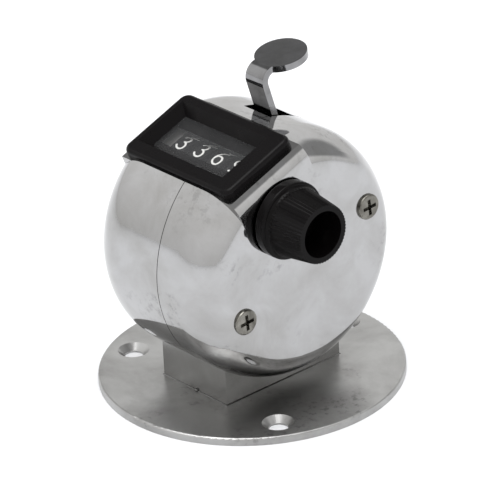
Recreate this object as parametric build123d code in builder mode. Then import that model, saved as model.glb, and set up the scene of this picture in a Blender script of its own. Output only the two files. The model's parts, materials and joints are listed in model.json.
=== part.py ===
from build123d import *
import math
import os

os.makedirs("parts", exist_ok=True)

# A base-mounted tally counter: a round chromed case on a post and a round screw-down plate.
# +X is the reset knob's side, -Y the front, where the window is, and +Z is up.
# The origin is the middle of the base plate's underside. Every size is in millimetres.

# ---- driving dimensions --------------------------------------------------------------------

# base
PLATE_R = 26.9
PLATE_T = 1.4
FIXING_PCD = 44.0
FIXING_HOLE_R = 1.7
FIXING_SINK_R = 2.8
POST_X = 16.5
POST_Y = 26.2
BASE_SCREW_Y = 8.0
BASE_SCREW_R = 1.5
BASE_SCREW_HEAD_R = 2.9

# case: a drum whose axis runs along X
CASE_Z = 26.3
CASE_R = 22.5
CASE_HALF = 15.55
WALL = 0.8
SEAM_X = 2.8
SEAM_GROOVE = (0.14, 0.35)
CROWN_R = 9.6
CROWN_ANGLE = 44.0
EDGE_R = 4.0
CASE_SCREW_AT = (14.3, 5.7)

# window: a flat seat let into the case, leaning towards the front
WINDOW_LEAN = 20.5
SEAT_D = 20.0
SEAT_FRONT = -8.5
SEAT_BACK = 8.2
SEAT_ROOT = 12.0
BEZEL_LEFT = -13.9
BEZEL_RIGHT = 13.1
BEZEL_T = 16.1
BEZEL_PROUD = 1.6
BEZEL_EDGE_R = 0.8
NUMBER_ROW = (-1.95, 2.3)
LIP_T = 0.4
LENS_CENTRE = (-1.6, 0.35)
LENS_X = 18.6
LENS_T = 7.9
LENS_THICK = 0.85
LENS_D = 19.8
BEZEL_SLOPE = 1.55

# number wheels and their shaft
SHAFT_Y = -4.6
SHAFT_UP = 10.4
SHAFT_R = 1.5
RUNNING = 0.05
WHEEL_R = 6.5
WHEEL_PITCH = 4.6
WHEEL_HALF = 1.6
UNITS_X = 5.4
HUB_R = 2.6

# carry gears
GEAR_TEETH = 20
PINION_TEETH = 8
CARRY_DISTANCE = 7.7
PINION_SHAFT_R = 0.8

# frame
FRAME_T = 0.8
LEFT_FRAME_X = -12.4
RIGHT_FRAME_X = 9.7
PILLAR_R = 1.5
SPACER_R = 2.4

# thumb lever: a yoke over the wheels, a thumb arm and a round pad
ARM_T = 0.9
LEFT_ARM_X = -11.4
RIGHT_ARM_X = 8.5
CROSSBAR_ANGLE = 13.0
CROSSBAR_R = 8.9
THUMB_X = -1.5
THUMB_WIDTH = 4.4
THUMB_T = 1.2
PAD_R = 4.6
PAD_TILT = 10.0
PAD_CENTRE = (9.17, 31.64)

LEVER_STROKE = 14.0

# slot that the thumb arm comes out of, across the seam of the shells
SLOT_LEFT = -3.4
SLOT_RIGHT = 3.2
SLOT_FRONT = 3.9
SLOT_BACK = 9.5

# ratchet and pawls
RATCHET_TEETH = 10
RATCHET_R = 5.2
RATCHET_X = 7.0
RATCHET_T = 1.2
PAWL_CLEAR = 0.3

# reset knob
KNOB_X = 15.85
KNOB_FLANGE_R = 6.85
KNOB_FLANGE_T = 2.1
KNOB_LENGTH = 9.35
KNOB_BACK_R = 6.15
KNOB_END_R = 5.2
KNOB_HOLE_R = 4.1
KNOB_HOLE_DEPTH = 6.5
KNOB_RIBS = 54

CASE = (0, CASE_Z)
SHAFT = (SHAFT_Y, CASE_Z + SHAFT_UP)
CASE_AXIS = Axis((0, 0, CASE_Z), (1, 0, 0))
LEFT_SIDE = -CASE_HALF
RIGHT_SIDE = CASE_HALF
RATCHET_END = RATCHET_X + RATCHET_T

window = Plane(
    origin=(0, 0, CASE_Z),
    x_dir=(1, 0, 0),
    z_dir=(0, -math.sin(math.radians(WINDOW_LEAN)), math.cos(math.radians(WINDOW_LEAN))),
)
window_axis = Axis(window.origin, window.z_dir)
seat_side = Plane(origin=window.origin, x_dir=(1, 0, 0), z_dir=-window.y_dir)


# ---- helpers -------------------------------------------------------------------------------

def across(x, centre=(0, 0)):
    """The plane across the counter at x, facing +X, its own X along Y, its origin at centre."""
    return Plane(origin=(x, centre[0], centre[1]), x_dir=(0, 1, 0), z_dir=(1, 0, 0))


def from_case(y, up):
    """The (y, z) place of a point given from the case's axis."""
    return (y, CASE_Z + up)


def from_shaft(angle, radius):
    """The (y, z) place of a point given in degrees and radius about the reset shaft."""
    a = math.radians(angle)
    return (SHAFT[0] + radius * math.cos(a), SHAFT[1] + radius * math.sin(a))


def bar(x0, x1, radius, centre, mode=Mode.ADD):
    """A round bar along X from x0 to x1, its axis at centre (y, z)."""
    with Locations((x0, centre[0], centre[1])):
        Cylinder(
            radius, x1 - x0, rotation=(0, 90, 0),
            align=(Align.CENTER, Align.CENTER, Align.MIN), mode=mode,
        )


def tube(x0, x1, radius, bore, centre):
    """A round bar along X with a hole of radius bore right through it."""
    bar(x0, x1, radius, centre)
    bar(x0, x1, bore, centre, mode=Mode.SUBTRACT)


def save(builder, name):
    """Name the piece and write its file."""
    builder.part.label = name
    export_step(builder.part, f"parts/{name}.step")


def linked_plate(x, thickness, spots):
    """A flat plate along X whose outline wraps round the spots, each (centre, radius)."""
    with BuildPart() as plate:
        with BuildSketch(across(x)):
            for centre, radius in spots:
                with Locations(centre):
                    Circle(radius)
            make_hull()
        extrude(amount=thickness)
    return plate.part


def side_outline(plane, inset):
    """The drum's outline seen from the front, moved in by inset: X across, and radius up to its top."""
    radius = CASE_R - inset
    half = CASE_HALF - inset
    slope = math.sin(math.radians(CROWN_ANGLE))
    crown_start = CASE_HALF - CROWN_R * slope - EDGE_R * (1 - slope)
    with BuildSketch(plane) as outline:
        with BuildLine():
            middle = Line((0, 0), (0, radius))
            run = Line(middle @ 1, (crown_start, radius))
            crown = JernArc(run @ 1, (1, 0), CROWN_R - inset, -CROWN_ANGLE)
            edge = JernArc(crown @ 1, crown % 1, EDGE_R - inset, CROWN_ANGLE - 90)
            side = Line(edge @ 1, (half, 0))
            Line(side @ 1, (0, 0))
        make_face()
        mirror(about=Plane.YZ)
    return outline.sketch


def case_form(inset):
    """The case's solid form with every surface moved in by inset: a crowned drum with the window's seat."""
    depth = SEAT_D - inset
    front = SEAT_FRONT - inset
    back = SEAT_BACK + inset
    with BuildPart() as seat:
        add(side_outline(seat_side.offset(inset - SEAT_BACK), inset))
        extrude(amount=SEAT_BACK - SEAT_FRONT - 2 * inset, dir=seat_side.z_dir)
        split(bisect_by=window.offset(depth), keep=Keep.BOTTOM)
        split(bisect_by=window.offset(SEAT_ROOT), keep=Keep.TOP)
        split(bisect_by=Plane.YZ.offset(BEZEL_LEFT + inset), keep=Keep.TOP)
    with BuildPart() as form:
        add(side_outline(Plane(origin=(0, 0, CASE_Z), x_dir=(1, 0, 0), z_dir=(0, -1, 0)), inset))
        revolve(axis=CASE_AXIS)
        with BuildSketch(window.offset(depth)):
            with Locations((0, (front + back) / 2)):
                Rectangle(2 * CASE_HALF, back - front)
        extrude(amount=CASE_R, mode=Mode.SUBTRACT)
        add(seat.part)
    return form.part


def shell(form, hollow, keep):
    """Half of the case, cut at the seam, with the window's hole."""
    with BuildPart() as half:
        add(form)
        split(bisect_by=Plane.YZ.offset(SEAM_X), keep=keep)
        add(hollow, mode=Mode.SUBTRACT)
        with BuildSketch(window.offset(SEAT_D - 3)):
            with Locations(LENS_CENTRE):
                Rectangle(LENS_X + 2.2, LENS_T + 2.2)
        extrude(amount=6, mode=Mode.SUBTRACT)
        with BuildSketch(Plane.XY.offset(CASE_Z + CASE_R / 2)):
            with Locations((SLOT_LEFT, SLOT_FRONT)):
                Rectangle(SLOT_RIGHT - SLOT_LEFT, SLOT_BACK - SLOT_FRONT, align=(Align.MIN, Align.MIN))
        extrude(amount=CASE_R, mode=Mode.SUBTRACT)
    return half.part


def toothed_disc(x, thickness, centre, teeth, root_r, tip_r, root_half, tip_half, start):
    """A spur gear with straight-sided teeth, one of them centred at the start angle."""
    with BuildPart() as gear:
        with BuildSketch(across(x, centre)):
            Circle(root_r)
            with PolarLocations(0, teeth, start_angle=start):
                Polygon(
                    (root_r - 0.3, -root_half), (tip_r, -tip_half), (tip_r, tip_half),
                    (root_r - 0.3, root_half), align=None,
                )
        extrude(amount=thickness)
    return gear.part


# ---- base ----------------------------------------------------------------------------------

with BuildPart() as base_plate:
    Cylinder(PLATE_R, PLATE_T, align=(Align.CENTER, Align.CENTER, Align.MIN))
    fillet(base_plate.edges().group_by(Axis.Z)[-1], 0.35)
    with Locations((0, 0, PLATE_T)):
        with PolarLocations(FIXING_PCD / 2, 3, start_angle=90):
            CounterSinkHole(FIXING_HOLE_R, FIXING_SINK_R, counter_sink_angle=90)
    with Locations(Plane.XY.rotated((180, 0, 0))):
        with Locations((0, BASE_SCREW_Y), (0, -BASE_SCREW_Y)):
            CounterSinkHole(BASE_SCREW_R, BASE_SCREW_HEAD_R, counter_sink_angle=90)
save(base_plate, "base_plate")

with BuildPart() as base_post:
    with Locations((0, 0, PLATE_T)):
        Box(POST_X, POST_Y, CASE_Z - CASE_R + 4.5, align=(Align.CENTER, Align.CENTER, Align.MIN))
    bar(-POST_X, POST_X, CASE_R, CASE, mode=Mode.SUBTRACT)
    with Locations((0, BASE_SCREW_Y, CASE_Z / 2), (0, -BASE_SCREW_Y, CASE_Z / 2)):
        Hole(BASE_SCREW_R)
    split(bisect_by=Plane.XY.offset(PLATE_T + 6.6), keep=Keep.BOTTOM)
save(base_post, "base_post")

SCREW_TOP = 8.6
with BuildPart() as base_screws:
    with Locations((0, BASE_SCREW_Y, 0), (0, -BASE_SCREW_Y, 0)):
        Cylinder(BASE_SCREW_R, SCREW_TOP, align=(Align.CENTER, Align.CENTER, Align.MIN))
        Cone(
            BASE_SCREW_HEAD_R, BASE_SCREW_R, BASE_SCREW_HEAD_R - BASE_SCREW_R,
            align=(Align.CENTER, Align.CENTER, Align.MIN),
        )
        for turn in (0, 90):
            Box(
                0.7, 3.4, 0.9, rotation=(0, 0, turn),
                align=(Align.CENTER, Align.CENTER, Align.MIN), mode=Mode.SUBTRACT,
            )
save(base_screws, "base_screws")

NUT_PLATE_TOP = 8.2
with BuildPart() as case_nut_plate:
    with BuildSketch(across(-5.0, CASE)):
        Circle(CASE_R - WALL)
    extrude(amount=10.0)
    with Locations((0, 0, NUT_PLATE_TOP)):
        Box(10.0, 22.0, 20.0, align=(Align.CENTER, Align.CENTER, Align.MAX), mode=Mode.INTERSECT)
    with Locations((0, BASE_SCREW_Y, NUT_PLATE_TOP), (0, -BASE_SCREW_Y, NUT_PLATE_TOP)):
        Hole(BASE_SCREW_R)
save(case_nut_plate, "case_nut_plate")

# ---- case ----------------------------------------------------------------------------------

outer_form = case_form(0)
inner_form = case_form(WALL)
SCREW_SPOTS = [from_case(*CASE_SCREW_AT), from_case(-CASE_SCREW_AT[0], -CASE_SCREW_AT[1])]
RIVET_R = 1.0
CASE_SCREW_R = 1.0

with BuildPart() as left_shell:
    add(shell(outer_form, inner_form, Keep.BOTTOM))
    for spot in SCREW_SPOTS:
        bar(LEFT_SIDE - 1, LEFT_SIDE + 2, RIVET_R, spot, mode=Mode.SUBTRACT)
    for y in (BASE_SCREW_Y, -BASE_SCREW_Y):
        with Locations((0, y, 0)):
            Cylinder(BASE_SCREW_R, CASE_Z, mode=Mode.SUBTRACT)
save(left_shell, "left_shell")

# a narrow groove runs round the right shell's mouth
with BuildPart() as seam_groove:
    add(outer_form)
    split(bisect_by=Plane.YZ.offset(SEAM_X), keep=Keep.TOP)
    split(bisect_by=Plane.YZ.offset(SEAM_X + SEAM_GROOVE[0]), keep=Keep.BOTTOM)
    add(case_form(SEAM_GROOVE[1]), mode=Mode.SUBTRACT)

with BuildPart() as right_shell:
    add(shell(outer_form, inner_form, Keep.TOP))
    add(seam_groove.part, mode=Mode.SUBTRACT)
    for spot in SCREW_SPOTS:
        bar(RIGHT_SIDE - 2, RIGHT_SIDE + 1, CASE_SCREW_R, spot, mode=Mode.SUBTRACT)
    bar(RIGHT_SIDE - 2, RIGHT_SIDE + 1, 2.2, SHAFT, mode=Mode.SUBTRACT)
save(right_shell, "right_shell")

with BuildPart() as window_bezel:
    with BuildSketch(window.offset(SEAT_D)):
        with Locations(((BEZEL_LEFT + BEZEL_RIGHT) / 2, 0)):
            RectangleRounded(BEZEL_RIGHT - BEZEL_LEFT, BEZEL_T, 1.8)
    extrude(amount=BEZEL_PROUD)
    fillet(window_bezel.faces().sort_by(window_axis)[-1].edges(), BEZEL_EDGE_R)
    with BuildSketch(window.offset(LENS_D - LENS_THICK)):
        with Locations(LENS_CENTRE):
            Rectangle(LENS_X + 2.0, LENS_T + 2.0)
    extrude(amount=SEAT_D - LENS_D + LENS_THICK)
    with BuildSketch(window.offset(LENS_D)):
        with Locations(LENS_CENTRE):
            Rectangle(LENS_X, LENS_T)
    with BuildSketch(window.offset(SEAT_D + BEZEL_PROUD)):
        with Locations(LENS_CENTRE):
            Rectangle(LENS_X + 2 * BEZEL_SLOPE, LENS_T + 2 * BEZEL_SLOPE)
    loft(mode=Mode.SUBTRACT)
    with BuildSketch(window.offset(LENS_D)):
        with Locations(LENS_CENTRE):
            Rectangle(LENS_X + 1.0, LENS_T + 1.0)
    extrude(amount=-LENS_THICK, mode=Mode.SUBTRACT)
    # a thin lip under the lens leaves only one row of numbers in view
    with BuildSketch(window.offset(LENS_D - LENS_THICK)):
        with Locations(LENS_CENTRE):
            Rectangle(LENS_X + 2.0, LENS_T + 2.0)
        with Locations((LENS_CENTRE[0], sum(NUMBER_ROW) / 2)):
            Rectangle(LENS_X + 1.0, NUMBER_ROW[1] - NUMBER_ROW[0], mode=Mode.SUBTRACT)
    extrude(amount=-LIP_T)
save(window_bezel, "window_bezel")

with BuildPart() as window_lens:
    with BuildSketch(window.offset(LENS_D)):
        with Locations(LENS_CENTRE):
            Rectangle(LENS_X + 1.0, LENS_T + 1.0)
    extrude(amount=-LENS_THICK)
save(window_lens, "window_lens")

HEAD_R = 2.3
HEAD_T = 0.6
with BuildPart() as case_screws:
    for spot in SCREW_SPOTS:
        bar(RIGHT_SIDE, RIGHT_SIDE + HEAD_T, HEAD_R, spot)
    fillet(case_screws.faces().filter_by(Axis.X).group_by(Axis.X)[-1].edges(), 0.4)
    for spot in SCREW_SPOTS:
        bar(RIGHT_SIDE - 5, RIGHT_SIDE, CASE_SCREW_R, spot)
        with Locations(across(RIGHT_SIDE + HEAD_T, spot)):
            for turn in (5, 95):
                Box(
                    0.65, 2.9, 0.9, rotation=(0, 0, turn),
                    align=(Align.CENTER, Align.CENTER, Align.MAX), mode=Mode.SUBTRACT,
                )
save(case_screws, "case_screws")

with BuildPart() as case_pillars:
    for spot in SCREW_SPOTS:
        bar(LEFT_SIDE + WALL, RIGHT_SIDE - WALL, PILLAR_R, spot)
        bar(LEFT_SIDE, LEFT_SIDE + WALL, RIVET_R, spot)
        bar(LEFT_SIDE - 0.45, LEFT_SIDE, 1.9, spot)
        bar(RIGHT_SIDE - 5, RIGHT_SIDE, CASE_SCREW_R, spot, mode=Mode.SUBTRACT)
    fillet(case_pillars.faces().filter_by(Axis.X).group_by(Axis.X)[0].edges(), 0.35)
save(case_pillars, "case_pillars")

# ---- frame ---------------------------------------------------------------------------------

PINION_SPOT = from_shaft(-90, CARRY_DISTANCE)
PAWL_ROD_SPOT = from_case(-13.2, 5.8)
PAWL_ROD_R = 1.0
TIE_SPOT = from_case(9.0, 1.05)
TIE_R = 1.2
TENON_R = 0.7
BUSH_R = 2.3
FRAME_SPOTS = [
    (SCREW_SPOTS[0], 3.4), (SCREW_SPOTS[1], 3.4), (SHAFT, 4.4), (TIE_SPOT, 2.6), (PAWL_ROD_SPOT, 2.4),
]


def frame_holes(x):
    """The holes that both frame plates have, cut out of the plate at x."""
    for spot in SCREW_SPOTS:
        bar(x, x + FRAME_T, PILLAR_R, spot, mode=Mode.SUBTRACT)
    for spot in (TIE_SPOT, PAWL_ROD_SPOT):
        bar(x, x + FRAME_T, TENON_R, spot, mode=Mode.SUBTRACT)
    bar(x, x + FRAME_T, PINION_SHAFT_R, PINION_SPOT, mode=Mode.SUBTRACT)
    bar(x, x + FRAME_T, BUSH_R, SHAFT, mode=Mode.SUBTRACT)


STOP_PIN_SPOT = from_case(0.12, 15.18)
STOP_PIN_R = 0.8
SILL_END = -10.25
with BuildPart() as left_frame_plate:
    add(linked_plate(LEFT_FRAME_X, FRAME_T, FRAME_SPOTS + [(STOP_PIN_SPOT, 1.4)]))
    frame_holes(LEFT_FRAME_X)
    bar(LEFT_FRAME_X, LEFT_FRAME_X + FRAME_T, 0.5, STOP_PIN_SPOT, mode=Mode.SUBTRACT)
    with BuildSketch(window.offset(15.0)):
        with Locations((LEFT_FRAME_X, 0.3)):
            Rectangle(FRAME_T, 7.0, align=(Align.MIN, Align.CENTER))
    extrude(amount=2.6)
    with BuildSketch(window.offset(16.8)):
        with Locations((LEFT_FRAME_X, 0.3)):
            Rectangle(SILL_END - LEFT_FRAME_X, 7.0, align=(Align.MIN, Align.CENTER))
    extrude(amount=0.8)
save(left_frame_plate, "left_frame_plate")

with BuildPart() as right_frame_plate:
    add(linked_plate(RIGHT_FRAME_X, FRAME_T, FRAME_SPOTS))
    frame_holes(RIGHT_FRAME_X)
save(right_frame_plate, "right_frame_plate")

FRAME_INNER = (LEFT_FRAME_X + FRAME_T, RIGHT_FRAME_X)
SPACER_SPANS = {
    "left_spacers": (LEFT_SIDE + WALL, LEFT_FRAME_X),
    "long_spacers": FRAME_INNER,
    "right_spacers": (RIGHT_FRAME_X + FRAME_T, RIGHT_SIDE - WALL),
}
for name, (start, end) in SPACER_SPANS.items():
    with BuildPart() as spacers:
        for spot in SCREW_SPOTS:
            tube(start, end, SPACER_R, PILLAR_R, spot)
        add(inner_form, mode=Mode.INTERSECT)
    save(spacers, name)

BUSH_FLANGE_R = 3.2
BUSH_FLANGE_T = 0.4
with BuildPart() as left_bushing:
    bar(LEFT_FRAME_X, LEFT_FRAME_X + FRAME_T, BUSH_R, SHAFT)
    bar(LEFT_FRAME_X - BUSH_FLANGE_T, LEFT_FRAME_X, BUSH_FLANGE_R, SHAFT)
    bar(LEFT_SIDE, RIGHT_SIDE, SHAFT_R + RUNNING, SHAFT, mode=Mode.SUBTRACT)
save(left_bushing, "left_bushing")

RIGHT_FRAME_END = RIGHT_FRAME_X + FRAME_T
with BuildPart() as right_bushing:
    bar(RIGHT_FRAME_X, RIGHT_FRAME_END, BUSH_R, SHAFT)
    bar(RIGHT_FRAME_END, RIGHT_FRAME_END + BUSH_FLANGE_T, BUSH_FLANGE_R, SHAFT)
    bar(LEFT_SIDE, RIGHT_SIDE, SHAFT_R + RUNNING, SHAFT, mode=Mode.SUBTRACT)
save(right_bushing, "right_bushing")

with BuildPart() as pinion_shaft:
    bar(LEFT_FRAME_X, RIGHT_FRAME_END, PINION_SHAFT_R, PINION_SPOT)
save(pinion_shaft, "pinion_shaft")

for name, spot, radius in (("tie_rod", TIE_SPOT, TIE_R), ("stop_pawl_rod", PAWL_ROD_SPOT, PAWL_ROD_R)):
    with BuildPart() as rod:
        bar(*FRAME_INNER, radius, spot)
        bar(LEFT_FRAME_X, RIGHT_FRAME_END, TENON_R, spot)
    save(rod, name)

with BuildPart() as lever_stop_pin:
    bar(LEFT_FRAME_X, FRAME_INNER[0], 0.5, STOP_PIN_SPOT)
    bar(FRAME_INNER[0], LEFT_ARM_X + ARM_T, STOP_PIN_R, STOP_PIN_SPOT)
save(lever_stop_pin, "lever_stop_pin")

# ---- number wheels -------------------------------------------------------------------------

GEAR_T = 0.55
CARRY_T = 0.7
HUB_GAP = 0.05
GEAR = dict(root_r=4.9, tip_r=5.95, root_half=0.5, tip_half=0.2)
PINION = dict(root_r=1.6, tip_r=2.65, root_half=0.42, tip_half=0.2)
WHEEL_NAMES = ("units", "tens", "hundreds", "thousands")


def number_wheel(place):
    """The moulded wheel in a decimal place, 0 for the units: its band, gear, carry disc and hub."""
    x = UNITS_X - WHEEL_PITCH * place
    left_reach = WHEEL_PITCH / 2 - HUB_GAP if place < 3 else 1.95
    right_reach = WHEEL_PITCH / 2 - HUB_GAP if place > 0 else RATCHET_END - UNITS_X + 0.1
    with BuildPart() as wheel:
        bar(x - WHEEL_HALF, x + WHEEL_HALF, WHEEL_R, SHAFT)
        chamfer(wheel.edges(), 0.12)
        bar(x - left_reach, x + right_reach, HUB_R, SHAFT)
        if place > 0:
            add(toothed_disc(x + WHEEL_HALF, GEAR_T, SHAFT, GEAR_TEETH, start=-90, **GEAR))
        if place < 3:
            bar(x - WHEEL_HALF - CARRY_T, x - WHEEL_HALF, 4.2, SHAFT)
            with BuildSketch(across(x - WHEEL_HALF - CARRY_T, SHAFT)):
                with PolarLocations(0, 2, start_angle=120, angular_range=30):
                    with Locations((4.3, 0)):
                        Rectangle(0.6, 0.7)
            extrude(amount=CARRY_T)
        bar(LEFT_SIDE, RIGHT_SIDE, SHAFT_R + RUNNING, SHAFT, mode=Mode.SUBTRACT)
    return wheel


for place, name in enumerate(WHEEL_NAMES):
    save(number_wheel(place), f"{name}_wheel")

# each pinion stands beside the wheel that it turns, meshed with that wheel's gear
for place, name in enumerate(WHEEL_NAMES[1:], start=1):
    gear_x = UNITS_X - WHEEL_PITCH * place + WHEEL_HALF
    with BuildPart() as pinion:
        add(toothed_disc(
            gear_x + 0.1, 1.2, PINION_SPOT, PINION_TEETH, start=90 + 180 / PINION_TEETH, **PINION))
        bar(gear_x, gear_x + 2, PINION_SHAFT_R + RUNNING, PINION_SPOT, mode=Mode.SUBTRACT)
    save(pinion, f"{name}_pinion")

with BuildPart() as ratchet_wheel:
    with BuildSketch(across(RATCHET_X, SHAFT)):
        with BuildLine():
            corners = []
            for tooth in range(RATCHET_TEETH):
                tip = math.radians(tooth * 360 / RATCHET_TEETH)
                for radius, angle in ((RATCHET_R, tip), (RATCHET_R - 1.0, tip + 0.06)):
                    corners.append((radius * math.cos(angle), radius * math.sin(angle)))
            Polyline(corners, close=True)
        make_face()
        Circle(HUB_R, mode=Mode.SUBTRACT)
    extrude(amount=RATCHET_T)
save(ratchet_wheel, "ratchet_wheel")

# ---- thumb lever and drive pawl ------------------------------------------------------------

CROSSBAR_SPOT = from_shaft(CROSSBAR_ANGLE, CROSSBAR_R)
PAWL_PIVOT = from_shaft(60, 8.6)
LEVER_PIVOT = PAWL_ROD_SPOT
SHAFT_SLOT_R = 1.8
PAWL_TIP_R = 0.35
PAWL_X = RATCHET_X + 0.1
PAWL_T = 1.1
PIN_R = 0.7


def turned_about(centre, spot, angle):
    """The (y, z) place of a spot turned by an angle in degrees about a centre."""
    a = math.radians(angle)
    y, z = spot[0] - centre[0], spot[1] - centre[1]
    return (centre[0] + y * math.cos(a) - z * math.sin(a), centre[1] + y * math.sin(a) + z * math.cos(a))


def on_arm(along, out):
    """A (y, z) place on the thumb arm's middle line, along it from the slot and out behind it."""
    lean = math.radians(106.4)
    y = 5.28 + along * math.cos(lean) + out * math.sin(lean)
    return from_case(y, 22.17 + along * math.sin(lean) - out * math.cos(lean))


BEND = on_arm(8.1, 0)
pad_plane = Plane(
    origin=(THUMB_X + THUMB_WIDTH / 2, *from_case(*PAD_CENTRE)),
    x_dir=(1, 0, 0),
    z_dir=(0, -math.sin(math.radians(PAD_TILT)), math.cos(math.radians(PAD_TILT))),
)
under_pad = pad_plane.offset(-THUMB_T / 2).origin

# the arms swing on the front rod and straddle the reset shaft, which their slots let them pass
SLOT_END = turned_about(LEVER_PIVOT, SHAFT, LEVER_STROKE + 1.5)
ARM_SPOTS = [(LEVER_PIVOT, 2.4), (SHAFT, 2.9), (SLOT_END, 2.6), (CROSSBAR_SPOT, 1.4)]
with BuildPart() as thumb_lever:
    add(linked_plate(LEFT_ARM_X, ARM_T, ARM_SPOTS))
    add(linked_plate(RIGHT_ARM_X, ARM_T, ARM_SPOTS))
    add(linked_plate(RIGHT_ARM_X, ARM_T, [(SHAFT, 2.9), (PAWL_PIVOT, 1.5)]))
    with BuildSketch(across(LEFT_ARM_X, CROSSBAR_SPOT)):
        Rectangle(1.2, 3.0, rotation=CROSSBAR_ANGLE)
    extrude(amount=RIGHT_ARM_X + ARM_T - LEFT_ARM_X)
    with BuildSketch(across(THUMB_X)):
        with BuildLine():
            FilletPolyline(
                CROSSBAR_SPOT, on_arm(-5.6, 0), BEND, (under_pad.Y, under_pad.Z), radius=[3.0, 2.0])
        trace(line_width=THUMB_T)
    extrude(amount=THUMB_WIDTH)
    with BuildSketch(pad_plane):
        Circle(PAD_R)
    extrude(amount=-THUMB_T)
    for x in (LEFT_ARM_X, RIGHT_ARM_X):
        add(linked_plate(x, ARM_T, [(SHAFT, SHAFT_SLOT_R), (SLOT_END, SHAFT_SLOT_R)]), mode=Mode.SUBTRACT)
        bar(x, x + ARM_T, PAWL_ROD_R + RUNNING, LEVER_PIVOT, mode=Mode.SUBTRACT)
    bar(RIGHT_ARM_X, RIGHT_ARM_X + ARM_T, PIN_R, PAWL_PIVOT, mode=Mode.SUBTRACT)
save(thumb_lever, "thumb_lever")

with BuildPart() as drive_pawl_pin:
    bar(PAWL_X - 0.1, RIGHT_ARM_X + ARM_T, PIN_R, PAWL_PIVOT)
    bar(PAWL_X - 0.5, PAWL_X - 0.1, 1.1, PAWL_PIVOT)
save(drive_pawl_pin, "drive_pawl_pin")

DRIVE_TIP = from_shaft(40, RATCHET_R + PAWL_CLEAR + PAWL_TIP_R)
with BuildPart() as drive_pawl:
    add(linked_plate(PAWL_X, PAWL_T, [(PAWL_PIVOT, 1.3), (DRIVE_TIP, PAWL_TIP_R)]))
    bar(PAWL_X, PAWL_X + PAWL_T, PIN_R + RUNNING, PAWL_PIVOT, mode=Mode.SUBTRACT)
save(drive_pawl, "drive_pawl")

LEAF_T = 0.2
with BuildPart() as drive_pawl_spring:
    with BuildSketch(across(PAWL_X, SHAFT)):
        with BuildLine():
            FilletPolyline((7.62, 3.2), (7.2, 4.6), (5.16, 5.0), radius=0.6)
        trace(line_width=LEAF_T)
    extrude(amount=PAWL_T)
save(drive_pawl_spring, "drive_pawl_spring")

STOP_TIP = from_shaft(170, RATCHET_R + PAWL_CLEAR + PAWL_TIP_R)
with BuildPart() as stop_pawl:
    add(linked_plate(PAWL_X, PAWL_T, [(PAWL_ROD_SPOT, 1.7), (STOP_TIP, PAWL_TIP_R)]))
    bar(PAWL_X, PAWL_X + PAWL_T, PAWL_ROD_R + RUNNING, PAWL_ROD_SPOT, mode=Mode.SUBTRACT)
save(stop_pawl, "stop_pawl")

with BuildPart() as stop_pawl_spring:
    with BuildSketch(across(PAWL_X, CASE)):
        with BuildLine():
            FilletPolyline((-14.9, -3.2), (-16.6, 5.2), (-12.9, 9.3), radius=2.0)
        trace(line_width=LEAF_T)
    extrude(amount=PAWL_T)
save(stop_pawl_spring, "stop_pawl_spring")

# the return spring: a coil round the tie rod, one leg under the crossbar, the other under a spacer
WIRE_R = 0.3
COIL_R = 1.9
COIL_X = -4.6
COIL_PITCH = 0.75
COIL_TURNS = 3.852
LEG_TO_CROSSBAR = 10.2
LEG_TO_SPACER = 6.5
with BuildPart() as lever_return_spring:
    with BuildLine() as wire:
        coil = Helix(COIL_PITCH, COIL_TURNS * COIL_PITCH, COIL_R, center=(COIL_X, *TIE_SPOT), direction=(1, 0, 0))
        Line(coil @ 0, coil @ 0 - (coil % 0) * LEG_TO_SPACER)
        Line(coil @ 1, coil @ 1 + (coil % 1) * LEG_TO_CROSSBAR)
    wire_path = wire.wire()
    with BuildSketch(Plane(wire_path @ 0, z_dir=wire_path % 0)):
        Circle(WIRE_R)
    sweep(path=wire_path)
save(lever_return_spring, "lever_return_spring")

# ---- reset shaft and knob ------------------------------------------------------------------

SHAFT_START = -13.5
CLIP_X = -13.3
CLIP_T = 0.4
CLIP_GROOVE_R = 1.15
SHAFT_END = KNOB_X + 2.05
with BuildPart() as reset_shaft:
    bar(SHAFT_START, SHAFT_END, SHAFT_R, SHAFT)
    bar(RIGHT_FRAME_END + BUSH_FLANGE_T + 0.1, RIGHT_FRAME_END + BUSH_FLANGE_T + 1.1, 2.4, SHAFT)
    with BuildSketch(across(CLIP_X, SHAFT)):
        Circle(SHAFT_R)
        Circle(CLIP_GROOVE_R, mode=Mode.SUBTRACT)
    extrude(amount=CLIP_T, mode=Mode.SUBTRACT)
    with Locations((-10.3, SHAFT[0], SHAFT[1] + SHAFT_R)):
        Box(17.5, 0.6, 1.0, align=(Align.MIN, Align.CENTER, Align.CENTER), mode=Mode.SUBTRACT)
    bar(SHAFT_END - 2, SHAFT_END, 0.8, SHAFT, mode=Mode.SUBTRACT)
save(reset_shaft, "reset_shaft")

with BuildPart() as shaft_clip:
    with BuildSketch(across(CLIP_X, SHAFT)):
        Circle(2.3)
        Circle(CLIP_GROOVE_R, mode=Mode.SUBTRACT)
        Rectangle(1.5, 3.0, align=(Align.CENTER, Align.MAX), mode=Mode.SUBTRACT)
    extrude(amount=CLIP_T)
save(shaft_clip, "shaft_clip")

with BuildPart() as knob_washer:
    tube(RIGHT_SIDE + 0.05, KNOB_X, 4.6, SHAFT_R, SHAFT)
save(knob_washer, "knob_washer")

KNOB_END = KNOB_X + KNOB_LENGTH
RIB_DEPTH = 0.16


def ribbed_outline(radius):
    """Corners of a star with a shallow point for each of the knob's ribs."""
    corners = []
    for step in range(2 * KNOB_RIBS):
        angle = math.pi * step / KNOB_RIBS
        reach = radius - (step % 2) * RIB_DEPTH
        corners.append((reach * math.cos(angle), reach * math.sin(angle)))
    return corners


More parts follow.
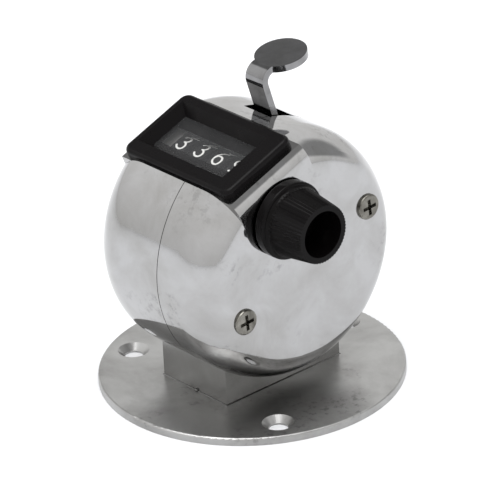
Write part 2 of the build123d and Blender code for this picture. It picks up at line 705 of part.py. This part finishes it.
with BuildPart() as reset_knob:
    for x, radius in ((KNOB_X + KNOB_FLANGE_T, KNOB_BACK_R), (KNOB_END, KNOB_END_R)):
        with BuildSketch(across(x, SHAFT)):
            with BuildLine():
                Polyline(ribbed_outline(radius), close=True)
            make_face()
    loft(ruled=True)
    with BuildSketch(Plane(origin=(0, *SHAFT), x_dir=(1, 0, 0), z_dir=(0, -1, 0))):
        with BuildLine():
            back = Line((KNOB_X, 0), (KNOB_X, KNOB_FLANGE_R - 0.3))
            lip = RadiusArc(back @ 1, (KNOB_X + 0.3, KNOB_FLANGE_R), 0.3)
            rim = Line(lip @ 1, (KNOB_X + KNOB_FLANGE_T - 0.45, KNOB_FLANGE_R))
            turn = RadiusArc(rim @ 1, (KNOB_X + KNOB_FLANGE_T, KNOB_FLANGE_R - 0.45), 0.45)
            sweep_in = RadiusArc(turn @ 1, (KNOB_X + KNOB_FLANGE_T + 0.9, KNOB_BACK_R - 0.2), -1.1)
            down = Line(sweep_in @ 1, (KNOB_X + KNOB_FLANGE_T + 0.9, 0))
            Line(down @ 1, back @ 0)
        make_face()
    revolve(axis=Axis((0, *SHAFT), (1, 0, 0)))
    bar(KNOB_END - KNOB_HOLE_DEPTH, KNOB_END, KNOB_HOLE_R, SHAFT, mode=Mode.SUBTRACT)
    bar(KNOB_X, SHAFT_END, SHAFT_R, SHAFT, mode=Mode.SUBTRACT)
    bar(SHAFT_END, KNOB_END, 0.8, SHAFT, mode=Mode.SUBTRACT)
save(reset_knob, "reset_knob")

KNOB_FLOOR = KNOB_END - KNOB_HOLE_DEPTH
with BuildPart() as knob_screw:
    bar(KNOB_FLOOR, KNOB_FLOOR + 1.2, 1.9, SHAFT)
    fillet(knob_screw.faces().sort_by(Axis.X)[-1].edges(), 0.5)
    bar(SHAFT_END - 2, KNOB_FLOOR, 0.8, SHAFT)
    with Locations((KNOB_FLOOR + 1.2, *SHAFT)):
        Box(1.2, 0.6, 4.0, mode=Mode.SUBTRACT)
save(knob_screw, "knob_screw")
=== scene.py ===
import json
import math
import bmesh
import bpy
from mathutils import Matrix, Vector


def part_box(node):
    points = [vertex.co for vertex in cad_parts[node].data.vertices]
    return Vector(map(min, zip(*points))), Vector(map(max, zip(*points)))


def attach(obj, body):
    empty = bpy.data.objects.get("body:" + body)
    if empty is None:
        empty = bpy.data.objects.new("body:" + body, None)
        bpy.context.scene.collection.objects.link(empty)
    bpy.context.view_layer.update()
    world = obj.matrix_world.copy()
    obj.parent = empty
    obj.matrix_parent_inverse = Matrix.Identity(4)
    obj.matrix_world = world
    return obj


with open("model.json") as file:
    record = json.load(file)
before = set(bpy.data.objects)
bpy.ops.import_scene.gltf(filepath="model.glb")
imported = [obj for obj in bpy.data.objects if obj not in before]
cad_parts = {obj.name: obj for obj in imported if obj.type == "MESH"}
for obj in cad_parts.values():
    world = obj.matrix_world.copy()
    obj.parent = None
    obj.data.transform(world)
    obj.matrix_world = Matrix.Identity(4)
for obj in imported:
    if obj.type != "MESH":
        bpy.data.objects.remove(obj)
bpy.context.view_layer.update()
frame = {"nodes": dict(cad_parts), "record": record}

# A base-mounted tally counter: a round chromed case on a post and a screw-down plate.
# Lengths are in metres: MM and MICRON turn sizes in millimetres and micrometres into metres.
MM = 0.001
MICRON = 0.001 * MM


# ---- node helpers --------------------------------------------------------------------------

class Shader:
    """A material's node tree, with short ways to add nodes to it."""

    def __init__(self, name):
        self.material = bpy.data.materials.new(name)
        self.material.use_nodes = True
        self.tree = self.material.node_tree
        self.surface = self.tree.nodes["Principled BSDF"]
        self.place = self.node("ShaderNodeTexCoord").outputs["Object"]

    def node(self, kind, **settings):
        made = self.tree.nodes.new(kind)
        for key, value in settings.items():
            setattr(made, key, value)
        return made

    def link(self, source, target):
        self.tree.links.new(source, target)

    def stretched(self, scale):
        """Object coordinates with each axis scaled, to draw a texture out along one direction."""
        mapping = self.node("ShaderNodeMapping")
        mapping.inputs["Scale"].default_value = scale
        self.link(self.place, mapping.inputs["Vector"])
        return mapping.outputs["Vector"]

    def noise(self, scale, detail=4.0, rough=0.55, vector=None, distortion=0.0):
        made = self.node("ShaderNodeTexNoise")
        made.inputs["Scale"].default_value = scale
        made.inputs["Detail"].default_value = detail
        made.inputs["Roughness"].default_value = rough
        made.inputs["Distortion"].default_value = distortion
        self.link(vector or self.place, made.inputs["Vector"])
        return made.outputs["Fac"]

    def remap(self, value, low, high, to_low, to_high):
        made = self.node("ShaderNodeMapRange")
        for socket, number in zip(("From Min", "From Max", "To Min", "To Max"), (low, high, to_low, to_high)):
            made.inputs[socket].default_value = number
        self.link(value, made.inputs["Value"])
        return made.outputs["Result"]

    def math(self, operation, a, b):
        made = self.node("ShaderNodeMath", operation=operation)
        for socket, value in zip(made.inputs, (a, b)):
            if isinstance(value, (int, float)):
                socket.default_value = value
            else:
                self.link(value, socket)
        return made.outputs["Value"]

    def blend(self, factor, low, high):
        """A colour that goes from low to high as factor goes from 0 to 1; each is a colour or a socket."""
        made = self.node("ShaderNodeMix", data_type="RGBA")
        for name, colour in (("A", low), ("B", high)):
            if isinstance(colour, bpy.types.NodeSocket):
                self.link(colour, made.inputs[name])
            else:
                made.inputs[name].default_value = (*colour, 1)
        self.link(factor, made.inputs["Factor"])
        return made.outputs["Result"]

    def bump(self, heights):
        """Bumps from pairs of height and depth, one on top of the other."""
        normal = None
        for height, depth in heights:
            made = self.node("ShaderNodeBump")
            made.inputs["Distance"].default_value = depth
            self.link(height, made.inputs["Height"])
            if normal:
                self.link(normal, made.inputs["Normal"])
            normal = made.outputs["Normal"]
        self.link(normal, self.surface.inputs["Normal"])


# ---- materials -----------------------------------------------------------------------------

# A scale says how many times a noise repeats in a metre, and a span says where in the noise's range a
# mark starts to show and where it shows fully.
SMUDGE_SPAN = (0.35, 0.7)
GLOSS_SPAN = (0.3, 0.75)
FINE_TIMES = 9
FINE_SHARE = 0.3
PIT_SCALE = 2600
PIT_SPAN = (0.62, 0.8)
CLUSTER_SCALE = 75
CLUSTER_SPAN = (0.50, 0.64)
SPECK_SPAN = (0.52, 0.64)
SPECK_SHADE = 0.3
BRUSH_SCALE = 900
BRUSH_DEPTH = 4 * MICRON


def metal(name, bright, dull, rough, smudge_scale, pit_depth, brushed=None, stains=None):
    """Plated metal: smudges in its colour and gloss, and fine pits.

    brushed stretches fine lines along the axes. stains adds clusters of dark specks, given as their
    scale, how much they show from 0 to 1, and their depth.
    """
    s = Shader(name)
    s.surface.inputs["Metallic"].default_value = 1.0
    smudge = s.noise(smudge_scale, detail=5, rough=0.6, distortion=0.4)
    fine = s.noise(smudge_scale * FINE_TIMES, detail=3)
    mixed = s.math("ADD", s.math("MULTIPLY", smudge, 1 - FINE_SHARE), s.math("MULTIPLY", fine, FINE_SHARE))
    s.link(s.remap(mixed, *GLOSS_SPAN, *rough), s.surface.inputs["Roughness"])
    colour = s.blend(s.remap(smudge, *SMUDGE_SPAN, 0, 1), bright, dull)
    heights = [(s.remap(s.noise(PIT_SCALE, detail=2), *PIT_SPAN, 0, 1), -pit_depth)]
    if stains:
        scale, share, depth = stains
        cluster = s.remap(s.noise(CLUSTER_SCALE, detail=3, distortion=0.5), *CLUSTER_SPAN, 0, share)
        speck = s.remap(s.noise(scale, detail=4, rough=0.65), *SPECK_SPAN, 0, 1)
        stain = s.math("MULTIPLY", cluster, speck)
        colour = s.blend(stain, colour, [part * SPECK_SHADE for part in dull])
        heights.append((stain, -depth))
    if brushed:
        heights.append((s.noise(BRUSH_SCALE, detail=3, vector=s.stretched(brushed)), BRUSH_DEPTH))
    s.link(colour, s.surface.inputs["Base Color"])
    s.bump(heights)
    return s.material


RUB_SCALE = 190
RUB_SPAN = (0.4, 0.75)
GRAIN_SCALE = 5200
WAVE_SCALE = 160


def plastic(name, colour, worn, rough, grain_depth, gloss):
    """Moulded plastic: fine grain, slight waves, and rubbed patches that are paler and glossier."""
    s = Shader(name)
    rub = s.remap(s.noise(RUB_SCALE, detail=5, distortion=0.6), *RUB_SPAN, 0, 1)
    s.link(s.blend(rub, colour, worn), s.surface.inputs["Base Color"])
    s.link(s.remap(rub, 0, 1, *rough), s.surface.inputs["Roughness"])
    s.surface.inputs["Specular IOR Level"].default_value = gloss
    s.bump([(s.noise(GRAIN_SCALE, detail=2), grain_depth), (s.noise(WAVE_SCALE, detail=2), grain_depth * 2)])
    return s.material


INK_FADE = 0.82
INK_FADE_SCALE = 1500
INK_GRAIN_SCALE = 4000
INK_GRAIN_DEPTH = 4 * MICRON


def ink(name, colour):
    """Printed figures in ink that is slightly uneven."""
    s = Shader(name)
    faded = [part * INK_FADE for part in colour]
    s.link(s.blend(s.noise(INK_FADE_SCALE, detail=4), colour, faded), s.surface.inputs["Base Color"])
    s.surface.inputs["Roughness"].default_value = 0.55
    s.bump([(s.noise(INK_GRAIN_SCALE), INK_GRAIN_DEPTH)])
    return s.material


HAZE_SCALE = 260
HAZE_SPAN = (0.35, 0.75)
HAZE_MOST = 0.006
SHEEN_POWER = 3.0
SHEEN_RANGE = (0.004, 0.4)
SMEAR_SCALE = 400
SMEAR_SPAN = (0.3, 0.7)
SMEAR_ROUGH = (0.03, 0.08)


def clear(name):
    """A thin clear window: mostly see-through, with a reflection that grows at a slant, and a light haze."""
    s = Shader(name)
    s.surface.inputs["Base Color"].default_value = (0.75, 0.76, 0.78, 1)
    s.surface.inputs["IOR"].default_value = 1.49
    s.link(s.remap(s.noise(SMEAR_SCALE), *SMEAR_SPAN, *SMEAR_ROUGH), s.surface.inputs["Roughness"])
    haze = s.remap(s.noise(HAZE_SCALE, detail=5), *HAZE_SPAN, 0, HAZE_MOST)
    slant = s.node("ShaderNodeLayerWeight").outputs["Facing"]
    sheen = s.remap(s.math("POWER", slant, SHEEN_POWER), 0, 1, *SHEEN_RANGE)
    mix = s.node("ShaderNodeMixShader")
    s.link(s.math("ADD", sheen, haze), mix.inputs["Fac"])
    s.link(s.node("ShaderNodeBsdfTransparent").outputs["BSDF"], mix.inputs[1])
    s.link(s.surface.outputs["BSDF"], mix.inputs[2])
    s.link(mix.outputs["Shader"], s.tree.nodes["Material Output"].inputs["Surface"])
    return s.material


MATERIALS = {
    "chromed_steel": metal(
        "case_chrome", (0.43, 0.43, 0.434), (0.34, 0.337, 0.33), (0.03, 0.11), 110, 4 * MICRON,
        stains=(700, 0.35, 6 * MICRON)),
    "dull_chrome": metal(
        "plate_chrome", (0.42, 0.42, 0.415), (0.27, 0.265, 0.26), (0.27, 0.43), 80, 10 * MICRON,
        stains=(900, 0.5, 10 * MICRON)),
    "nickel_screw": metal(
        "screw_nickel", (0.24, 0.232, 0.21), (0.10, 0.095, 0.083), (0.20, 0.38), 420, 8 * MICRON),
    "lever_steel": metal(
        "lever_nickel", (0.27, 0.27, 0.275), (0.18, 0.18, 0.18), (0.08, 0.18), 260, 3 * MICRON,
        brushed=(1.0, 0.12, 0.12)),
    "frame_steel": metal(
        "zinc_plate", (0.74, 0.72, 0.69), (0.60, 0.58, 0.55), (0.30, 0.45), 300, 4 * MICRON),
    "turned_steel": metal(
        "turned_steel", (0.62, 0.61, 0.60), (0.50, 0.49, 0.48), (0.18, 0.32), 500, 4 * MICRON,
        brushed=(8.0, 1.0, 1.0)),
    "spring_steel": metal(
        "spring_steel", (0.42, 0.42, 0.43), (0.30, 0.29, 0.28), (0.25, 0.40), 500, 4 * MICRON),
    "brass": metal(
        "turned_brass", (0.80, 0.58, 0.26), (0.58, 0.40, 0.18), (0.20, 0.36), 500, 4 * MICRON),
    "black_plastic": plastic(
        "black_satin", (0.0030, 0.0025, 0.0028), (0.006, 0.0052, 0.0055), (0.34, 0.20), 6 * MICRON,
        gloss=0.10),
    "wheel_plastic": plastic(
        "wheel_black", (0.006, 0.0057, 0.006), (0.010, 0.0096, 0.010), (0.42, 0.34), 2 * MICRON,
        gloss=0.06),
    "clear_plastic": clear("window_clear"),
}
# nodes that look a little different from the rest of their material slot
LOOKS = {
    "base_post": metal(
        "post_chrome", (0.35, 0.35, 0.345), (0.27, 0.268, 0.262), (0.17, 0.28), 90, 5 * MICRON),
    "reset_knob": plastic(
        "knob_black", (0.0024, 0.0020, 0.0021), (0.004, 0.0034, 0.0036), (0.22, 0.14), 3 * MICRON,
        gloss=0.08),
}
for entry in frame["record"]["subparts"]:
    node = frame["nodes"][entry["node"]]
    node.data.materials.clear()
    node.data.materials.append(LOOKS.get(entry["node"], MATERIALS[entry["material_slot"]]))

SOFT_EDGE_ANGLE = 40


def soften(name, width):
    """Slightly rounded edges on a pressed part."""
    bevel = frame["nodes"][name].modifiers.new("soft_edges", "BEVEL")
    bevel.width = width
    bevel.segments = 3
    bevel.limit_method = "ANGLE"
    bevel.angle_limit = math.radians(SOFT_EDGE_ANGLE)
    bevel.harden_normals = False


soften("thumb_lever", 0.22 * MM)
soften("base_post", 0.2 * MM)


# ---- figures on the number wheels ----------------------------------------------------------

FIGURE_HEIGHT = 3.6 * MM
FIGURE_WIDTH = 1.95 * MM
FIGURE_SLANT = -0.2
STROKE = 0.37 * MM
STROKE_STEP = 0.3 * MM
STROKE_END_ANGLES = (25, 50, 75)
INK_THICKNESS = 0.02 * MM
INK_SINK = 0.02 * MM
ARC_STEP = 12
ARC_LEAST_STEPS = 4
PLACES = 10
# degrees round the shaft, from straight back over the top, at which the shown figure stands
FIGURE_ANGLE = 97.0
UNITS_MIDDLE = 5.15 * MM
WHEEL_PITCH = 4.6 * MM
SHOWN = {"units": 9, "tens": 6, "hundreds": 3, "thousands": 3}


def arc(x, y, rx, ry, start, end):
    """Points along part of an ellipse, angles in degrees, in the figure's unit box."""
    steps = max(ARC_LEAST_STEPS, int(abs(end - start) / ARC_STEP))
    angles = [math.radians(start + (end - start) * i / steps) for i in range(steps + 1)]
    return [(x + rx * math.cos(a), y + ry * math.sin(a)) for a in angles]


def turned(points):
    """The points turned half round."""
    return [(-x, -y) for x, y in points]


SIX = [arc(0.0, -0.2, 0.46, 0.3, -180, 180), arc(0.42, -0.2, 0.88, 0.7, 90, 180)]
FIGURES = {
    0: [arc(0, 0, 0.46, 0.5, 90, 450)],
    1: [[(-0.2, 0.3), (0.06, 0.5)], [(0.06, 0.5), (0.06, -0.5)]],
    2: [arc(0, 0.21, 0.44, 0.29, 160, -38) + [(-0.46, -0.5)], [(-0.46, -0.5), (0.46, -0.5)]],
    3: [arc(0.02, 0.26, 0.4, 0.24, 155, -75), arc(0, -0.24, 0.46, 0.26, 85, -160)],
    4: [[(0.16, -0.5), (0.16, 0.5), (-0.46, -0.22), (0.44, -0.22)]],
    5: [[(0.4, 0.5), (-0.3, 0.5), (-0.38, 0.02)], arc(0, -0.17, 0.45, 0.33, 150, -150)],
    6: SIX,
    7: [[(-0.44, 0.5), (0.44, 0.5), (-0.14, -0.5)]],
    8: [arc(0, 0.26, 0.38, 0.24, 0, 360), arc(0, -0.24, 0.46, 0.26, 0, 360)],
    9: [turned(stroke) for stroke in SIX],
}


def close_rings(mesh, rings):
    """Faces between each ring of vertices and the next."""
    for a, b in zip(rings, rings[1:]):
        for k in range(len(a)):
            after = (k + 1) % len(a)
            mesh.faces.new((a[k], a[after], b[after], b[k]))


def cap_ends(mesh, rings):
    """A face over the first ring and one over the last."""
    mesh.faces.new(list(reversed(rings[0])))
    mesh.faces.new(rings[-1])


def add_stroke(mesh, points, place):
    """A flat printed line with rounded ends along the points, laid on a wheel by place(u, v, height)."""
    path = [Vector((x * FIGURE_WIDTH + y * FIGURE_HEIGHT * FIGURE_SLANT, y * FIGURE_HEIGHT))
            for x, y in points]
    dense = [path[0]]
    for a, b in zip(path, path[1:]):
        steps = max(1, int((b - a).length / STROKE_STEP))
        dense += [a.lerp(b, (i + 1) / steps) for i in range(steps)]
    rows = []
    for i, point in enumerate(dense):
        along = (dense[min(i + 1, len(dense) - 1)] - dense[max(i - 1, 0)]).normalized()
        rows.append((point, along, STROKE / 2))
    for end, sign in ((0, -1), (-1, 1)):
        point, along, half = rows[end]
        for angle in STROKE_END_ANGLES:
            a = math.radians(angle)
            cap = (point + along * sign * half * math.sin(a), along, half * math.cos(a))
            rows.insert(0 if sign < 0 else len(rows), cap)
    rings = []
    for point, along, half in rows:
        side = Vector((-along.y, along.x)) * half
        left, right = point + side, point - side
        rings.append([mesh.verts.new(place(*at, height)) for at, height in (
            (left, INK_THICKNESS), (right, INK_THICKNESS), (right, -INK_SINK), (left, -INK_SINK))])
    close_rings(mesh, rings)
    cap_ends(mesh, rings)


def make_object(name, mesh, material, smooth_angle=30):
    """A named object from a bmesh, shaded smooth except across edges sharper than smooth_angle."""
    data = bpy.data.meshes.new(name)
    bmesh.ops.recalc_face_normals(mesh, faces=mesh.faces)
    mesh.to_mesh(data)
    mesh.free()
    data.materials.append(material)
    made = bpy.data.objects.new(name, data)
    bpy.context.scene.collection.objects.link(made)
    data.shade_smooth()
    data.set_sharp_from_angle(angle=math.radians(smooth_angle))
    return made


shaft_low, shaft_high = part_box("reset_shaft")
SHAFT_Y = (shaft_low.y + shaft_high.y) / 2
SHAFT_Z = (shaft_low.z + shaft_high.z) / 2
white_ink = ink("white_ink", (0.72, 0.72, 0.70))
for place_value, (name, shown) in enumerate(SHOWN.items()):
    low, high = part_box(f"{name}_wheel")
    radius = (high.y - low.y) / 2
    middle = UNITS_MIDDLE - place_value * WHEEL_PITCH
    mesh = bmesh.new()
    for digit, strokes in FIGURES.items():
        around = math.radians(FIGURE_ANGLE + 360 / PLACES * (digit - shown))

        def place(u, v, height):
            angle = around - v / radius
            reach = radius + height
            return (middle + u, SHAFT_Y + reach * math.cos(angle), SHAFT_Z + reach * math.sin(angle))

        for stroke in strokes:
            add_stroke(mesh, stroke, place)
    figures = make_object(f"{name}_figures", mesh, white_ink)
    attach(figures, name)


# ---- painted shadow line round the post's foot ---------------------------------------------

# sizes of the dark bead that paints the shadow line at the post's foot
SHADOW_LINE_WIDTH = 0.22 * MM
SHADOW_LINE_HEIGHT = 0.16 * MM
SHADOW_LINE_SINK = 0.05 * MM
DROP_PLACE = (0.4 * MM, -0.1 * MM)
DROP_PROFILE = ((0.36, 0.0), (0.38, 0.1), (0.33, 0.25), (0.22, 0.37), (0.08, 0.43))  # mm: reach, height
DROP_SIDES = 16


def add_painted_shadow_bead(mesh, low, high):
    """A thin dark bead round the post's foot, let slightly into the post, that paints the shadow line where
    the post meets the plate.
    """
    profile = ((-SHADOW_LINE_SINK, 0), (SHADOW_LINE_WIDTH, 0), (SHADOW_LINE_WIDTH * 0.5, SHADOW_LINE_HEIGHT * 0.6),
               (-SHADOW_LINE_SINK, SHADOW_LINE_HEIGHT))
    rings = []
    for out, up in profile:
        corners = ((low.x - out, low.y - out), (high.x + out, low.y - out),
                   (high.x + out, high.y + out), (low.x - out, high.y + out))
        rings.append([mesh.verts.new((x, y, low.z + up)) for x, y in corners])
    close_rings(mesh, rings + rings[:1])


def add_shadow_line_drop(mesh, low):
    """A small round drop on the dark bead of painted shadow, at the front of the post."""
    across, forward = DROP_PLACE
    middle = Vector((across, low.y + forward, low.z))
    turns = [math.tau * i / DROP_SIDES for i in range(DROP_SIDES)]
    rings = []
    for reach, height in DROP_PROFILE:
        places = [middle + Vector((reach * math.cos(a), reach * math.sin(a), height)) * MM for a in turns]
        rings.append([mesh.verts.new(place) for place in places])
    close_rings(mesh, rings)
    cap_ends(mesh, rings)


def painted_shadow_line():
    """A dark line painted round the post's foot as the shadow where it stands on the plate."""
    low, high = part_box("base_post")
    mesh = bmesh.new()
    add_painted_shadow_bead(mesh, low, high)
    add_shadow_line_drop(mesh, low)
    # dark metal for the painted shadow line at the post's foot, and for the drop on it
    painted_shadow_metal = metal("painted_shadow_metal", (0.16, 0.16, 0.158), (0.09, 0.088, 0.085), (0.18, 0.34), 500, 6 * MICRON)
    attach(make_object("post_painted_shadow_line", mesh, painted_shadow_metal), "case")


painted_shadow_line()


# ---- floor, light and camera ---------------------------------------------------------------

FLOOR_HALF = 2.5
FLOOR_DROP = 0.02 * MM
# grey levels of the room from the horizon up: (how far up, level)
STUDIO = ((0.0, 0.95), (0.25, 1.08), (0.5, 1.18), (1.0, 1.2))
STUDIO_WARMTH = (1, 0.995, 0.985)
# darker soft patches of the room: (direction, half-width in degrees, edge in degrees, grey level)
PATCHES = (
    ((-0.69, 0.23, 0.69), 13, 8, 0.32),
    ((0.25, 0.85, 0.46), 15, 10, 0.45),
    ((0.60, 0.12, 0.76), 10, 9, 0.42),
)

floor_shader = Shader("floor_pale")
floor_shader.link(
    floor_shader.blend(floor_shader.noise(6, detail=3), (0.885, 0.892, 0.91), (0.87, 0.876, 0.895)),
    floor_shader.surface.inputs["Base Color"])
floor_shader.surface.inputs["Roughness"].default_value = 0.9
floor_mesh = bmesh.new()
bmesh.ops.create_grid(floor_mesh, x_segments=8, y_segments=8, size=FLOOR_HALF)
floor = make_object("floor", floor_mesh, floor_shader.material)
floor.location.z = -FLOOR_DROP


def add_patch(tree, direction, colour, patch):
    """The colour of the room with one soft patch laid over it."""
    toward, half_width, edge, level = patch
    dot = tree.nodes.new("ShaderNodeVectorMath")
    dot.operation = "DOT_PRODUCT"
    tree.links.new(direction, dot.inputs[0])
    dot.inputs[1].default_value = Vector(toward).normalized()
    share = tree.nodes.new("ShaderNodeMapRange")
    share.interpolation_type = "SMOOTHSTEP"
    share.inputs["From Min"].default_value = math.cos(math.radians(half_width + edge))
    share.inputs["From Max"].default_value = math.cos(math.radians(half_width))
    tree.links.new(dot.outputs["Value"], share.inputs["Value"])
    mix = tree.nodes.new("ShaderNodeMix")
    mix.data_type = "RGBA"
    tree.links.new(share.outputs["Result"], mix.inputs["Factor"])
    tree.links.new(colour, mix.inputs["A"])
    mix.inputs["B"].default_value = (level, level, level, 1)
    return mix.outputs["Result"]


def light_room():
    """An even pale room that is brighter overhead, with a few darker soft patches."""
    world = bpy.data.worlds.new("studio")
    bpy.context.scene.world = world
    world.use_nodes = True
    tree = world.node_tree
    direction = tree.nodes.new("ShaderNodeTexCoord").outputs["Generated"]
    split = tree.nodes.new("ShaderNodeSeparateXYZ")
    tree.links.new(direction, split.inputs["Vector"])
    ramp = tree.nodes.new("ShaderNodeValToRGB")
    tree.links.new(split.outputs["Z"], ramp.inputs["Fac"])
    stops = ramp.color_ramp.elements
    for up, level in STUDIO[:-1]:
        stop = stops[0] if up == 0 else stops.new(up)
        stop.color = (*[level * part for part in STUDIO_WARMTH], 1)
    top_level = STUDIO[-1][1]
    stops[-1].color = (top_level, top_level, top_level, 1)
    colour = ramp.outputs["Color"]
    for patch in PATCHES:
        colour = add_patch(tree, direction, colour, patch)
    background = tree.nodes["Background"]
    tree.links.new(colour, background.inputs["Color"])
    background.inputs["Strength"].default_value = 1.0


light_room()


SOFTBOX_PLACE = (0.15, -0.1, 1.2)
SOFTBOX_TARGET = (0, 0, 0.03)
SOFTBOX_SIDE = 0.8
SOFTBOX_WATTS = 8


def softbox(name):
    """A square area light overhead, facing the counter."""
    lamp = bpy.data.lights.new(name, "AREA")
    lamp.shape = "SQUARE"
    lamp.size = SOFTBOX_SIDE
    lamp.energy = SOFTBOX_WATTS
    made = bpy.data.objects.new(name, lamp)
    made.location = SOFTBOX_PLACE
    facing = Vector(SOFTBOX_TARGET) - Vector(SOFTBOX_PLACE)
    made.rotation_euler = facing.to_track_quat("-Z", "Y").to_euler()
    bpy.context.scene.collection.objects.link(made)


softbox("overhead_softbox")

CAMERA_AZIMUTH = 49.6
CAMERA_ELEVATION = 26.4
CAMERA_ROLL = 2.8
CAMERA_DISTANCE = 700 * MM
CAMERA_LENS = 294.1
CAMERA_TARGET = Vector((2.36, -1.21, 24.8)) * MM


def aim_camera():
    """The camera looks at the counter from the right and above, tipped slightly to one side."""
    azimuth, elevation = math.radians(CAMERA_AZIMUTH), math.radians(CAMERA_ELEVATION)
    level = math.cos(elevation)
    back = Vector((math.sin(azimuth) * level, -math.cos(azimuth) * level, math.sin(elevation)))
    right = (-back).cross(Vector((0, 0, 1))).normalized()
    up = right.cross(-back)
    turn = Matrix((right, up, back)).transposed() @ Matrix.Rotation(math.radians(-CAMERA_ROLL), 3, "Z")
    data = bpy.data.cameras.new("camera")
    data.lens = CAMERA_LENS
    data.sensor_width = 36
    data.clip_start = 0.01
    camera = bpy.data.objects.new("camera", data)
    camera.matrix_world = Matrix.Translation(CAMERA_TARGET + back * CAMERA_DISTANCE) @ turn.to_4x4()
    bpy.context.scene.collection.objects.link(camera)
    bpy.context.scene.camera = camera


aim_camera()
bpy.context.scene.view_settings.view_transform = "Standard"
